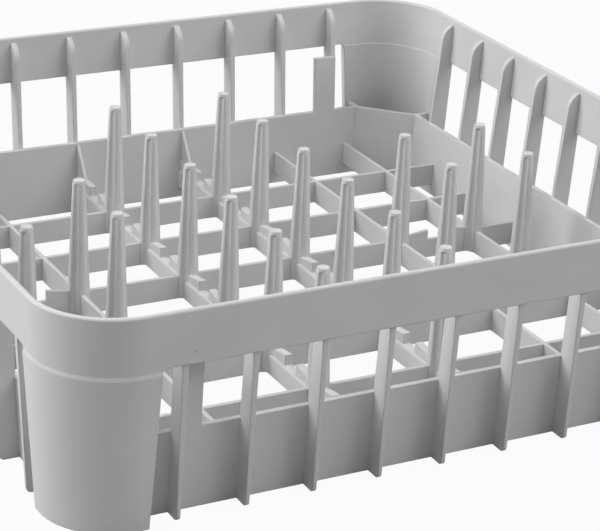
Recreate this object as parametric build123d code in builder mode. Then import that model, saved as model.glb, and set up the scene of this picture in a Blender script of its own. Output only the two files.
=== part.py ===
"""Square moulded dishwasher rack: drafted walls with windows, a floor grid, upright pegs and plate seats.

Millimetres, +Z up. The origin is the middle of the footprint, on the surface that the rack stands on.
Front and back walls face -Y and +Y. The whole rack is one straight-pull moulding, so it is one solid.
"""

import math
import os

from build123d import *

# Overall size, measured over the rim
rim_width = 400.0
rack_height = 108.0
rim_corner_radius = 40.0
draft_angle = 3.2

# Thickness of the walls, and the rounding of the rim's edges
wall = 3.0
rim_rounding = 1.2

# Upper band, and the corner columns under it, whose skin is a little thicker on both sides
band_height = 27.0
column_height = 80.0
column_step = 0.7
column_shoulder = 2.4

# Lower wall, set in from the outer face so that the windows open straight up and down
wall_inset = 10.7
sill_height = 42.6

# Ribs across the windows
rib_pitch = 35.0
ribs_per_side = 9
rib_foot_thickness = 1.8
rib_top_thickness = 3.4
rib_recess = 0.8
rib_drop = 2.8
rib_lean = 5.0
rib_lap = 0.6
rib_crown_height = 9.5
rib_foot_radius = 2.5

# Gap between the end rib and the corner column, at the band and at the foot
end_gap = 11.5
foot_gap = 15.0
end_gap_radius = 3.0

# Upstands beside the end ribs of the front and back walls
panel_width = 14.0
panel_height = 77.0

# Webs that carry the corner columns below the sill
web_thickness = 3.0

# Floor grid
floor_clearance = 6.3
beam_height = 13.2
beam_thickness = 2.4

# Spines: the two broad floor beams that carry the long rows of pegs, with rounded top edges
spine_thickness = 6.4
spine_rounding = 1.8

# Peg layout: columns step outwards from the middle, rows are evenly spaced
inner_column_spacing = 69.0
middle_column_step = 64.3
outer_column_step = 49.2
row_pitch = 51.0
row_count = 6

# Pegs
peg_height = 83.0
peg_top_diameter = 6.6
peg_foot_diameter = 12.6
peg_fin_thickness = 2.4
peg_cap = 1.5
peg_cap_chamfer = 0.5

# Plate seats: a gap between two sloping shoulders, half way between neighbouring pegs
seat_gap = 12.0
seat_depth = 2.3
seat_rise = 3.5
shoulder_low_rise = 0.8
seat_thickness = 4.2

# Gussets that brace the lower wall behind the seats next to it
gusset_thickness = 1.8
gusset_setback = 10.5
gusset_drop = 0.8

# Levels and positions that follow from the sizes above
band_bottom = rack_height - band_height
shoulder_foot = column_height - column_shoulder
shoulder_angle = math.degrees(math.atan(column_step / column_shoulder))
rib_top = rack_height - rib_drop
floor_top = floor_clearance + beam_height
seat_top = floor_top + seat_rise
seat_floor = floor_top - seat_depth
shoulder_low = floor_top + shoulder_low_rise
fin_top = peg_height - peg_cap
draft_slope = math.tan(math.radians(draft_angle))
end_rib = rib_pitch * (ribs_per_side - 1) / 2
window_half_top = end_rib + end_gap
window_half_foot = end_rib + foot_gap

inner_column = inner_column_spacing / 2
middle_column = inner_column + middle_column_step
outer_column = middle_column + outer_column_step
outer_columns = [side * x for x in (middle_column, outer_column) for side in (-1, 1)]
rows = [(index - (row_count - 1) / 2) * row_pitch for index in range(row_count)]
middle_rows = rows[row_count // 2 - 1:row_count // 2 + 1]
peg_points = [(side * inner_column, y) for side in (-1, 1) for y in rows]
peg_points += [(x, y) for x in outer_columns for y in middle_rows]

row_seat_reach = (row_pitch - seat_gap) / 2
column_seat_reach = (outer_column_step - seat_gap) / 2
wall_seat = rows[-1] + row_seat_reach + seat_gap
gusset_foot = wall_seat + gusset_setback


def outer_half(z):
    """Half the rack's width over its outer faces at height z."""
    return rim_width / 2 - (rack_height - z) * draft_slope


def wall_half(z):
    """Half the width over the outer face of the lower wall at height z."""
    return outer_half(z) - wall_inset


def envelope(bottom, top, inset, mode, taper=-draft_angle):
    """Drafted rounded square between two heights, its sides set in from the outer face."""
    side = 2 * (outer_half(bottom) - inset)
    radius = rim_corner_radius - (rack_height - bottom) * draft_slope - inset
    with BuildSketch(Plane.XY.offset(bottom)) as outline:
        RectangleRounded(side, side, radius)
    extrude(outline.sketch, amount=top - bottom, taper=taper, mode=mode)


def lower_block(bottom, top, inset, mode):
    """Drafted square with cut corners between two heights, set in from the lower wall's outer face."""
    side = 2 * wall_half(bottom)
    corner_cut = wall_half(bottom) - window_half_foot
    with BuildSketch(Plane.XY.offset(bottom)) as outline:
        Rectangle(side, side)
        chamfer(outline.vertices(), length=corner_cut)
        offset(amount=-inset, kind=Kind.INTERSECTION, mode=Mode.REPLACE)
    extrude(outline.sketch, amount=top - bottom, taper=-draft_angle, mode=mode)


# Upper band and corner columns: a drafted shell with a step, opened between the columns on all four sides
with BuildPart() as shell:
    envelope(0, shoulder_foot, -column_step, Mode.ADD)
    envelope(shoulder_foot, column_height, -column_step, Mode.ADD, taper=shoulder_angle)
    envelope(sill_height, rack_height, 0, Mode.ADD)
    envelope(0, column_height, wall + column_step, Mode.SUBTRACT)
    envelope(column_height, rack_height, wall, Mode.SUBTRACT)
    fillet(shell.faces().sort_by(Axis.Z)[-1].edges(), radius=rim_rounding)
    for side_plane in (Plane.XZ, Plane.YZ):
        with BuildSketch(side_plane) as opening:
            with BuildLine():
                Polyline(
                    (-window_half_foot, 0),
                    (window_half_foot, 0),
                    (window_half_top, band_bottom),
                    (-window_half_top, band_bottom),
                    close=True,
                )
            make_face()
            fillet(opening.vertices().group_by(Axis.Y)[-1], radius=end_gap_radius)
        extrude(amount=rim_width, both=True, mode=Mode.SUBTRACT)

# Lower wall, cut down to the sill except at the upstands beside the end ribs
with BuildPart() as lower_wall:
    lower_block(0, panel_height, 0, Mode.ADD)
    lower_block(0, panel_height, wall, Mode.SUBTRACT)
    with BuildSketch(Plane.XY.offset(sill_height)):
        Rectangle(rim_width, rim_width)
        with GridLocations(2 * end_rib - panel_width, 2 * wall_half(sill_height), 2, 2):
            Rectangle(panel_width, 2 * wall_inset, mode=Mode.SUBTRACT)
    extrude(amount=panel_height - sill_height, mode=Mode.SUBTRACT)

# One rib, standing across the back wall: pointed at the top, and thinner towards its foot
with BuildPart() as rib:
    with BuildSketch(Plane.YZ) as rib_outline:
        lean_slope = math.tan(math.radians(rib_lean))
        crown_foot = rib_top - rib_crown_height
        inner_foot = (wall_half(sill_height) - rib_lap, sill_height)
        inner_top = (inner_foot[0] + (crown_foot - sill_height) * lean_slope, crown_foot)
        crown_tip = (outer_half(rib_top) - wall / 2, rib_top)
        with BuildLine():
            Polyline(
                crown_tip,
                (outer_half(rib_top) - rib_recess, rib_top),
                (outer_half(0) - rib_recess, 0),
                (wall_half(0) - wall / 2, 0),
                inner_foot,
                inner_top,
            )
            TangentArc(inner_top, crown_tip, tangent=(lean_slope, 1))
        make_face()
        fillet(rib_outline.vertices().group_by(Axis.Y)[0].sort_by(Axis.X)[-1], radius=rib_foot_radius)
    extrude(amount=rib_top_thickness, both=True)
    with BuildSketch(Plane.XZ):
        with BuildLine():
            Polyline(
                (-rib_foot_thickness / 2, 0),
                (rib_foot_thickness / 2, 0),
                (rib_top_thickness / 2, rib_top),
                (-rib_top_thickness / 2, rib_top),
                close=True,
            )
        make_face()
    extrude(amount=-rim_width, mode=Mode.INTERSECT)

# One web between the cut corner of the lower wall and the end of a corner column
with BuildPart() as web:
    with BuildSketch(Plane.YZ):
        web_root = web_thickness / 2 + wall / math.sqrt(2)
        web_tip = wall / 2
        with BuildLine():
            Polyline(
                (wall_half(0) - web_root, 0),
                (outer_half(0) - web_tip, 0),
                (outer_half(sill_height) - web_tip, sill_height),
                (wall_half(sill_height) - web_root, sill_height),
                close=True,
            )
        make_face()
    extrude(amount=web_thickness / 2, both=True)

# One peg: four tapered fins in a cross, closed by a round cap
with BuildPart() as peg:
    for fin_plane in (Plane.XZ, Plane.YZ):
        with BuildSketch(fin_plane):
            with BuildLine():
                Polyline(
                    (-peg_foot_diameter / 2, floor_clearance),
                    (peg_foot_diameter / 2, floor_clearance),
                    (peg_top_diameter / 2, fin_top),
                    (-peg_top_diameter / 2, fin_top),
                    close=True,
                )
            make_face()
        extrude(amount=peg_fin_thickness / 2, both=True)
    with BuildSketch(Plane.XY.offset(fin_top)):
        Circle(peg_top_diameter / 2)
    extrude(amount=peg_cap)
    chamfer(peg.faces().sort_by(Axis.Z)[-1].edges(), length=peg_cap_chamfer)

# Floor grid with the plate seats and the gussets, trimmed to the middle of the lower wall
with BuildPart() as floor_grid:
    with BuildSketch(Plane.XZ):
        for x in (-inner_column, inner_column):
            with Locations((x, floor_clearance)):
                Rectangle(spine_thickness, seat_floor - floor_clearance, align=(Align.CENTER, Align.MIN))
    extrude(amount=rim_width / 2, both=True)
    fillet(floor_grid.edges().filter_by(Axis.Y).group_by(Axis.Z)[-1], radius=spine_rounding)
    with BuildSketch(Plane.XY.offset(floor_clearance)):
        for y in rows:
            with Locations((0, y)):
                Rectangle(rim_width, beam_thickness)
        for x in outer_columns:
            with Locations((x, 0)):
                Rectangle(beam_thickness, rim_width)
    extrude(amount=beam_height)
    for x in (-inner_column, inner_column):
        with BuildSketch(Plane.YZ.offset(x)):
            for y in rows:
                with BuildLine():
                    Polyline(
                        (y - row_seat_reach, floor_clearance),
                        (y + row_seat_reach, floor_clearance),
                        (y + row_seat_reach, seat_top),
                        (y, shoulder_low),
                        (y - row_seat_reach, seat_top),
                        close=True,
                    )
                make_face()
            with Locations((-wall_seat, floor_clearance)):
                Rectangle(rim_width / 2, seat_top - floor_clearance, align=(Align.MAX, Align.MIN))
            with Locations((wall_seat, floor_clearance)):
                Rectangle(rim_width / 2, seat_top - floor_clearance, align=(Align.MIN, Align.MIN))
        extrude(amount=seat_thickness / 2, both=True)
        with BuildSketch(Plane.YZ.offset(x)):
            with BuildLine():
                Polyline(
                    (gusset_foot, floor_clearance),
                    (rim_width / 2, floor_clearance),
                    (rim_width / 2, sill_height - gusset_drop),
                    (wall_half(sill_height) - wall, sill_height - gusset_drop),
                    (gusset_foot, seat_top),
                    close=True,
                )
            make_face()
            mirror(about=Plane.YZ)
        extrude(amount=gusset_thickness / 2, both=True)
    with BuildSketch(Plane.XY.offset(seat_floor)):
        with GridLocations(middle_column + outer_column, row_pitch, 2, 2):
            Rectangle(seat_gap, 2 * beam_thickness)
    extrude(amount=beam_height, mode=Mode.SUBTRACT)
    for y in middle_rows:
        with BuildSketch(Plane.XZ.offset(-y)):
            for start, reach in ((middle_column, column_seat_reach), (outer_column, -column_seat_reach)):
                with BuildLine():
                    Polyline(
                        (start, floor_clearance),
                        (start + reach, floor_clearance),
                        (start + reach, seat_top),
                        (start, shoulder_low),
                        close=True,
                    )
                make_face()
            mirror(about=Plane.YZ)
        extrude(amount=beam_thickness / 2, both=True)
    lower_block(0, sill_height, wall / 2, Mode.INTERSECT)

# The whole moulding
with BuildPart() as rack:
    add(lower_wall.part)
    add(floor_grid.part)
    add(shell.part)
    with PolarLocations(0, 4):
        with GridLocations(rib_pitch, rib_pitch, ribs_per_side, 1):
            add(rib.part)
        with GridLocations(2 * window_half_foot + web_thickness, rib_pitch, 2, 1):
            add(web.part)
    with Locations(*peg_points):
        add(peg.part)

rack.part.label = "rack"
os.makedirs("parts", exist_ok=True)
export_step(rack.part, "parts/rack.step")
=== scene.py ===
"""Studio view of a moulded dishwasher rack: one light grey plastic piece on a white floor."""

import math

import bmesh
import bpy
from mathutils import Matrix, Vector


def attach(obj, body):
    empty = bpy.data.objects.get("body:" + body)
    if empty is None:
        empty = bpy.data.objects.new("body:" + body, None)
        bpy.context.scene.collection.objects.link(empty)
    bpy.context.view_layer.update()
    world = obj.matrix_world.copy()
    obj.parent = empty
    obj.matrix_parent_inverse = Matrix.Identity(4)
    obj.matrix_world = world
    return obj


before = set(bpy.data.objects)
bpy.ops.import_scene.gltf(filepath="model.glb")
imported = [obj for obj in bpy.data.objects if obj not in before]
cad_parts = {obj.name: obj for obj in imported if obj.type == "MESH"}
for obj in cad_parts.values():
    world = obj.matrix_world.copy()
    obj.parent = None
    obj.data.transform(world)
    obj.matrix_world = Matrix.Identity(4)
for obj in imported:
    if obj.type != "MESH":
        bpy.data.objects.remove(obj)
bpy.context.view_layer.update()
scene = bpy.context.scene
MM = 0.001

# Camera, read from the photograph: place in metres, angles in degrees
CAMERA_PLACE = (-0.5363, -1.0325, 0.51622)
CAMERA_TURN = 28.3788
CAMERA_DIP = 22.6892
CAMERA_ROLL = 2.5
CAMERA_LENS = 139.02
SENSOR_WIDTH = 36.0

# Plastic: sizes of its edge rounding, grain, clouds, flow lines and specks, and how strongly they show.
# The real grain is too fine to show, so it is drawn coarser
EDGE_ROUNDING = 0.8 * MM
GRAIN_SIZE = 1.5 * MM
GRAIN_DEPTH = 0.1 * MM
GRAIN_STRENGTH = 0.05
CLOUD_SIZE = 45 * MM
FLOW_LENGTH = 40 * MM
FLOW_HEIGHT = 1.6 * MM
FLOW_FADE = (0.66, 0.8)
FLOW_SHARE = 0.6
SPECK_SPACING = 40 * MM
SPECK_SIZE = 0.7 * MM
SPECK_CORE = 0.5
SPECK_SHARE = 0.5

# Peg fins: places as in the part, fuller than its plain crossed fins, with shallow notches, angles in degrees
INNER_COLUMN = 34.5 * MM
OUTER_COLUMNS = (98.8 * MM, 148.0 * MM)
ROW_PITCH = 51.0 * MM
ROW_COUNT = 6
FIN_FOOT_RADIUS = 6.5 * MM
FIN_TOP_RADIUS = 3.55 * MM
FIN_FOOT_LEVEL = 6.8 * MM
FIN_TOP_LEVEL = 81.6 * MM
FIN_HALF_ANGLE = 20.0
NOTCH_SLOPE_ANGLE = 14.0
NOTCH_DEPTH = 0.22
FLUTE_STEPS = 72

# Peg caps: a round cap with a shallow dish inside its rim
CAP_RADIUS = 3.15 * MM
CAP_FOOT_LEVEL = 82.3 * MM
CAP_TOP_LEVEL = 83.4 * MM
CAP_RIM_WIDTH = 0.9 * MM
CAP_DISH_DEPTH = 0.35 * MM
CAP_STEPS = 28
SHARP_ANGLE = 60.0

# Floor and lamps: sizes in metres, and how far the floor's white covers its shadow
FLOOR_SIZE = 8.0
GLOW_SHARE = 0.95
LAMP_SIZE = 2.0
LAMP_DISTANCE = 2.3
LAMP_AIM = (0, 0, 0.05)


def linear(hex_colour):
    """An sRGB hex value as linear RGBA."""
    channels = [int(hex_colour[i:i + 2], 16) / 255 for i in (1, 3, 5)]
    steps = [c / 12.92 if c <= 0.04045 else ((c + 0.055) / 1.055) ** 2.4 for c in channels]
    return (*steps, 1.0)


def add_node(tree, kind, settings=None, inputs=None, links=None):
    """Adds a node, sets its properties and input values, and links its inputs to other nodes' outputs."""
    node = tree.nodes.new(kind)
    for name, value in (settings or {}).items():
        setattr(node, name, value)
    for name, value in (inputs or {}).items():
        node.inputs[name].default_value = value
    for name, output in (links or {}).items():
        tree.links.new(output, node.inputs[name])
    return node


def new_material(name):
    """An empty material with an output node."""
    material = bpy.data.materials.new(name)
    material.use_nodes = True
    material.node_tree.nodes.clear()
    return material, material.node_tree, material.node_tree.nodes.new("ShaderNodeOutputMaterial")


def moulded_polypropylene():
    """Moulded polypropylene: light grey and satin, with soft edges, faint flow lines and dark specks."""
    material, tree, out = new_material("moulded polypropylene")
    where = add_node(tree, "ShaderNodeTexCoord").outputs["Object"]
    # A moulded edge is never sharp: this rounding catches the light along every edge
    edge = add_node(tree, "ShaderNodeBevel", settings={"samples": 6}, inputs={"Radius": EDGE_ROUNDING})
    # The skin's fine grain gives the satin look
    grain = add_node(
        tree, "ShaderNodeTexNoise",
        inputs={"Scale": 1 / GRAIN_SIZE, "Detail": 2.0, "Roughness": 0.5}, links={"Vector": where},
    )
    bump = add_node(
        tree, "ShaderNodeBump",
        inputs={"Strength": GRAIN_STRENGTH, "Distance": GRAIN_DEPTH},
        links={"Height": grain.outputs["Fac"], "Normal": edge.outputs["Normal"]},
    )
    # Clouds of slightly lighter and darker plastic
    cloud = add_node(
        tree, "ShaderNodeTexNoise",
        inputs={"Scale": 1 / CLOUD_SIZE, "Detail": 3.0, "Roughness": 0.55}, links={"Vector": where},
    )
    body = add_node(
        tree, "ShaderNodeMix", settings={"data_type": "RGBA"},
        inputs={"A": linear("#C9C9C9"), "B": linear("#D7D7D7")}, links={"Factor": cloud.outputs["Fac"]},
    )
    # Flow lines: long level streaks, thin in height
    stretch = add_node(
        tree, "ShaderNodeMapping",
        inputs={"Scale": (1 / FLOW_LENGTH, 1 / FLOW_LENGTH, 1 / FLOW_HEIGHT)}, links={"Vector": where},
    )
    streak = add_node(
        tree, "ShaderNodeTexNoise",
        inputs={"Scale": 1.0, "Detail": 2.0, "Roughness": 0.5}, links={"Vector": stretch.outputs["Vector"]},
    )
    streak_mask = add_node(
        tree, "ShaderNodeMapRange",
        inputs={"From Min": FLOW_FADE[0], "From Max": FLOW_FADE[1], "To Max": FLOW_SHARE},
        links={"Value": streak.outputs["Fac"]},
    )
    lined = add_node(
        tree, "ShaderNodeMix", settings={"data_type": "RGBA"},
        inputs={"B": linear("#DEDEDE")},
        links={"Factor": streak_mask.outputs["Result"], "A": body.outputs["Result"]},
    )
    # Specks: small dark grains, far apart
    cell = add_node(
        tree, "ShaderNodeTexVoronoi",
        inputs={"Scale": 1 / SPECK_SPACING}, links={"Vector": where},
    )
    speck_reach = SPECK_SIZE / SPECK_SPACING
    speck_mask = add_node(
        tree, "ShaderNodeMapRange",
        inputs={"From Min": speck_reach, "From Max": SPECK_CORE * speck_reach, "To Max": SPECK_SHARE},
        links={"Value": cell.outputs["Distance"]},
    )
    specked = add_node(
        tree, "ShaderNodeMix", settings={"data_type": "RGBA"},
        inputs={"B": linear("#787878")},
        links={"Factor": speck_mask.outputs["Result"], "A": lined.outputs["Result"]},
    )
    shader = add_node(
        tree, "ShaderNodeBsdfPrincipled",
        inputs={"Roughness": 0.5, "IOR": 1.49, "Specular IOR Level": 0.3},
        links={"Base Color": specked.outputs["Result"], "Normal": bump.outputs["Normal"]},
    )
    tree.links.new(shader.outputs["BSDF"], out.inputs["Surface"])
    return material


def seen_share(tree, share):
    """A factor for rays that show the white surroundings: seen by the camera, in gloss or through glass."""
    path = add_node(tree, "ShaderNodeLightPath")
    seen = path.outputs["Is Camera Ray"]
    for kind in ("Is Glossy Ray", "Is Transmission Ray"):
        either = add_node(
            tree, "ShaderNodeMath", settings={"operation": "MAXIMUM"}, links={0: seen, 1: path.outputs[kind]},
        )
        seen = either.outputs["Value"]
    scaled = add_node(
        tree, "ShaderNodeMath", settings={"operation": "MULTIPLY"}, inputs={1: share}, links={0: seen},
    )
    return scaled.outputs["Value"]


def white_floor():
    """White paper: matte, shown white, with a soft shadow kept."""
    material, tree, out = new_material("white paper")
    matte = add_node(tree, "ShaderNodeBsdfDiffuse", inputs={"Color": linear("#B0B0B0")})
    glow = add_node(tree, "ShaderNodeEmission", inputs={"Color": (1, 1, 1, 1), "Strength": 1.0})
    mix = add_node(
        tree, "ShaderNodeMixShader",
        links={0: seen_share(tree, GLOW_SHARE), 1: matte.outputs["BSDF"], 2: glow.outputs["Emission"]},
    )
    tree.links.new(mix.outputs["Shader"], out.inputs["Surface"])
    return material


def flute(turn):
    """Radius of a fluted peg at an angle, as a share of its fin's radius: four fins with soft notches."""
    off_fin = abs((math.degrees(turn) + 45) % 90 - 45)
    step = min(max((off_fin - FIN_HALF_ANGLE) / NOTCH_SLOPE_ANGLE, 0), 1)
    return 1 - NOTCH_DEPTH * step * step * (3 - 2 * step)


def corners_of(items):
    """The vertices among a list of mesh items."""
    return [item for item in items if isinstance(item, bmesh.types.BMVert)]


def raise_column(build, foot, top_share, foot_level, top_level):
    """Extrudes a flat outline to a closed tapered column, and gives its top face."""
    grown = bmesh.ops.extrude_face_region(build, geom=[foot[0].link_faces[0]], use_keep_orig=True)["geom"]
    top = corners_of(grown)
    bmesh.ops.scale(build, verts=top, vec=(top_share, top_share, 1))
    bmesh.ops.translate(build, verts=foot, vec=(0, 0, foot_level))
    bmesh.ops.translate(build, verts=top, vec=(0, 0, top_level))
    return next(item for item in grown if isinstance(item, bmesh.types.BMFace))


def fluted_pegs(places):
    """Full fins and dished caps over the pegs, as one mesh: a fluted column under each round cap."""
    build = bmesh.new()
    # Fins
    circle = bmesh.ops.create_circle(build, segments=FLUTE_STEPS, radius=FIN_FOOT_RADIUS, cap_ends=True)
    foot = circle["verts"]
    for corner in foot:
        corner.co *= flute(math.atan2(corner.co.y, corner.co.x))
    raise_column(build, foot, FIN_TOP_RADIUS / FIN_FOOT_RADIUS, FIN_FOOT_LEVEL, FIN_TOP_LEVEL)
    # Cap
    circle = bmesh.ops.create_circle(build, segments=CAP_STEPS, radius=CAP_RADIUS, cap_ends=True)
    cap_top = raise_column(build, circle["verts"], 1.0, CAP_FOOT_LEVEL, CAP_TOP_LEVEL)
    bmesh.ops.recalc_face_normals(build, faces=build.faces)
    bmesh.ops.inset_individual(build, faces=[cap_top], thickness=CAP_RIM_WIDTH, depth=-CAP_DISH_DEPTH)

    # One copy at each place, and the first one deleted
    peg = build.verts[:] + build.edges[:] + build.faces[:]
    for x, y in places:
        copy = bmesh.ops.duplicate(build, geom=peg)["geom"]
        bmesh.ops.translate(build, verts=corners_of(copy), vec=(x, y, 0))
    bmesh.ops.delete(build, geom=corners_of(peg), context="VERTS")

    mesh = bpy.data.meshes.new("peg_fins")
    build.to_mesh(mesh)
    build.free()
    mesh.shade_smooth()
    mesh.set_sharp_from_angle(angle=math.radians(SHARP_ANGLE))
    piece = bpy.data.objects.new("peg_fins", mesh)
    scene.collection.objects.link(piece)
    return piece


def soft_lamp(name, turn, rise, power):
    """A square soft box that faces the rack: turn from the front to the left and rise in degrees, watts."""
    lamp = bpy.data.lights.new(name, "AREA")
    lamp.shape = "SQUARE"
    lamp.size = LAMP_SIZE
    lamp.energy = power
    holder = bpy.data.objects.new(name, lamp)
    scene.collection.objects.link(holder)
    round_z = Matrix.Rotation(math.radians(-turn), 3, "Z")
    way = round_z @ Vector((0, -math.cos(math.radians(rise)), math.sin(math.radians(rise))))
    holder.location = Vector(LAMP_AIM) + LAMP_DISTANCE * way
    holder.rotation_euler = (-way).to_track_quat("-Z", "Y").to_euler()


# The rack keeps its own mesh and takes the plastic
plastic = moulded_polypropylene()
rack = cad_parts["rack"]
rack.data.materials.clear()
rack.data.materials.append(plastic)

# Pegs: two long columns of six, and short columns of two at the sides
rows = [(row - (ROW_COUNT - 1) / 2) * ROW_PITCH for row in range(ROW_COUNT)]
middle_rows = rows[ROW_COUNT // 2 - 1:ROW_COUNT // 2 + 1]
peg_places = [(side * INNER_COLUMN, y) for side in (-1, 1) for y in rows]
peg_places += [(side * x, y) for side in (-1, 1) for x in OUTER_COLUMNS for y in middle_rows]
fins = fluted_pegs(peg_places)
fins.data.materials.append(plastic)
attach(fins, "root")

# Floor
bpy.ops.mesh.primitive_plane_add(size=FLOOR_SIZE, location=(0, 0, 0))
floor = bpy.context.object
floor.name = "floor"
floor.data.materials.append(white_floor())

# Light: three soft boxes, and a room that is white where it is seen and gives no light of its own
soft_lamp("left soft box", 115, 35, 60.0)
soft_lamp("right soft box", -60, 40, 34.0)
soft_lamp("high front soft box", 0, 60, 16.0)
world = bpy.data.worlds.new("white room")
scene.world = world
world.use_nodes = True
world.node_tree.nodes.clear()
room = add_node(
    world.node_tree, "ShaderNodeBackground",
    inputs={"Color": (1, 1, 1, 1)}, links={"Strength": seen_share(world.node_tree, 1.0)},
)
add_node(world.node_tree, "ShaderNodeOutputWorld", links={"Surface": room.outputs["Background"]})

# Camera
lens = bpy.data.cameras.new("camera")
lens.lens = CAMERA_LENS
lens.sensor_width = SENSOR_WIDTH
camera = bpy.data.objects.new("camera", lens)
scene.collection.objects.link(camera)
camera.matrix_world = (
    Matrix.Translation(CAMERA_PLACE)
    @ Matrix.Rotation(math.radians(-CAMERA_TURN), 4, "Z")
    @ Matrix.Rotation(math.radians(90 - CAMERA_DIP), 4, "X")
    @ Matrix.Rotation(math.radians(CAMERA_ROLL), 4, "Z")
)
scene.camera = camera
scene.view_settings.view_transform = "Standard"
